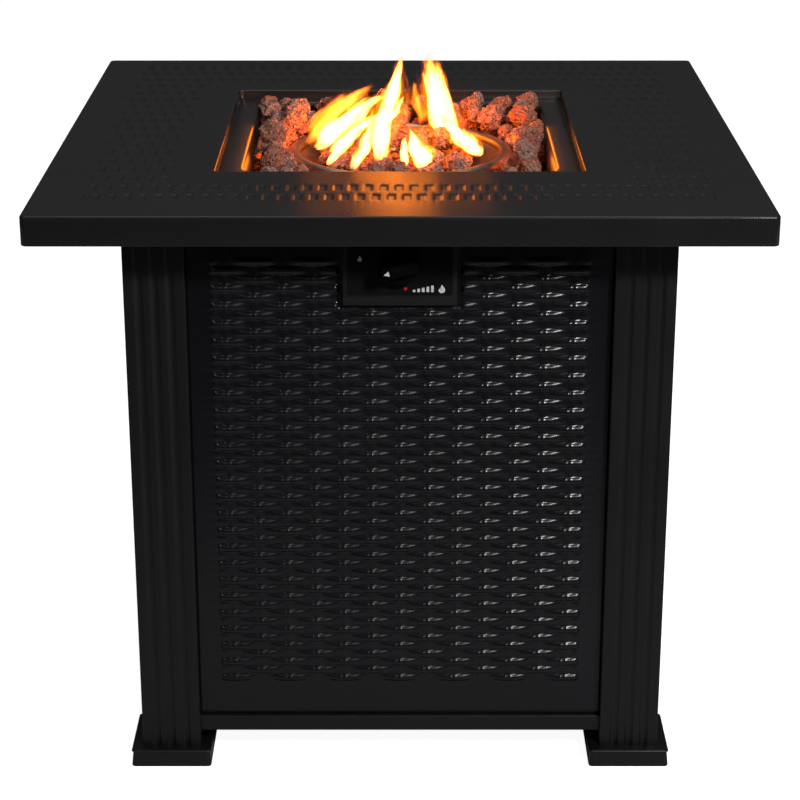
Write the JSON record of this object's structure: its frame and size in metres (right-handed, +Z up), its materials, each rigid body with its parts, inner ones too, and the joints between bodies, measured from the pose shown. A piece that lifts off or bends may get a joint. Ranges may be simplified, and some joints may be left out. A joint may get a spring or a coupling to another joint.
{
  "type": "square propane fire pit table",
  "caption": "Square fire pit table in black coated steel with a burner dish in lava rock, fluted legs, woven-look panels, a control knob and a rear door to the gas tank.",
  "frame": {"origin": "on the floor under the middle of the table", "axes": "+Z up, the front with the control knob faces -Y, +X to the right seen from the front"},
  "size_m": [0.711, 0.711, 0.6302],
  "materials": {
    "top_coat": "satin",
    "frame_coat": "satin",
    "panel_coat": "satin",
    "control_coat": "satin",
    "knob_plastic": "satin",
    "bowl_coat": "matte",
    "dish_steel": "satin",
    "zinc_steel": "satin",
    "valve_brass": "satin",
    "tube_aluminium": "satin",
    "elbow_iron": "matte",
    "white_ceramic": "satin",
    "red_lead": "matte",
    "copper_lead": "satin",
    "lava_rock": "matte"
  },
  "bodies": {
    "table": {"table_top": "top_coat", "leg_front_left": "frame_coat", "leg_front_right": "frame_coat", "leg_rear_left": "frame_coat", "leg_rear_right": "frame_coat", "foot_front_left": "frame_coat", "foot_front_right": "frame_coat", "foot_rear_left": "frame_coat", "foot_rear_right": "frame_coat", "bottom_rail_front": "frame_coat", "bottom_rail_right": "frame_coat", "bottom_rail_rear": "frame_coat", "bottom_rail_left": "frame_coat", "top_rail_front": "frame_coat", "top_rail_right": "frame_coat", "top_rail_rear": "frame_coat", "top_rail_left": "frame_coat", "base_plate": "frame_coat", "tank_ring": "frame_coat", "front_panel": "panel_coat", "right_panel": "panel_coat", "left_panel": "panel_coat", "control_box": "control_coat", "door_catch": "knob_plastic", "fire_bowl": "bowl_coat", "burner_dish": "dish_steel", "burner_head": "dish_steel", "top_nuts": "zinc_steel", "foot_bolts": "zinc_steel", "base_screws": "zinc_steel", "panel_screws": "zinc_steel", "valve_screws": "zinc_steel", "burner_stub": "zinc_steel", "lock_nut": "zinc_steel", "sensor_bracket": "zinc_steel", "bracket_rivets": "zinc_steel", "thermocouple": "zinc_steel", "valve_bonnet": "valve_brass", "valve_body": "valve_brass", "orifice": "valve_brass", "feed_pipe": "tube_aluminium", "mixer_tube": "tube_aluminium", "burner_elbow": "elbow_iron", "igniter_electrode": "white_ceramic", "igniter_lead": "red_lead", "thermocouple_lead": "copper_lead", "bowl_rocks": "lava_rock", "dish_rocks": "lava_rock"},
    "door": {"access_door": "panel_coat", "door_pivots": "zinc_steel", "door_pull": "knob_plastic", "pull_nut": "zinc_steel", "catch_strike": "zinc_steel"},
    "valve_plug": {"valve_plug": "valve_brass", "stem_spring": "zinc_steel"},
    "knob": {"control_knob": "knob_plastic", "valve_stem": "zinc_steel"}
  },
  "joints": [
    {"name": "door_hinge", "type": "hinge", "parent": "table", "child": "door", "pos_m": [-0.2035, 0.256, 0.3], "axis": [0, 0, 1], "range_deg": [0, 90]},
    {"name": "knob_turn", "type": "hinge", "parent": "table", "child": "valve_plug", "pos_m": [0, -0.25, 0.553], "axis": [0, 1, 0], "range_deg": [-105, 105]},
    {"name": "knob_push", "type": "slide", "parent": "valve_plug", "child": "knob", "axis": [0, 1, 0], "range_m": [0, 0.004], "stiffness_N_per_m": 1500, "springref_m": -0.003, "deforming": ["stem_spring"]}
  ]
}
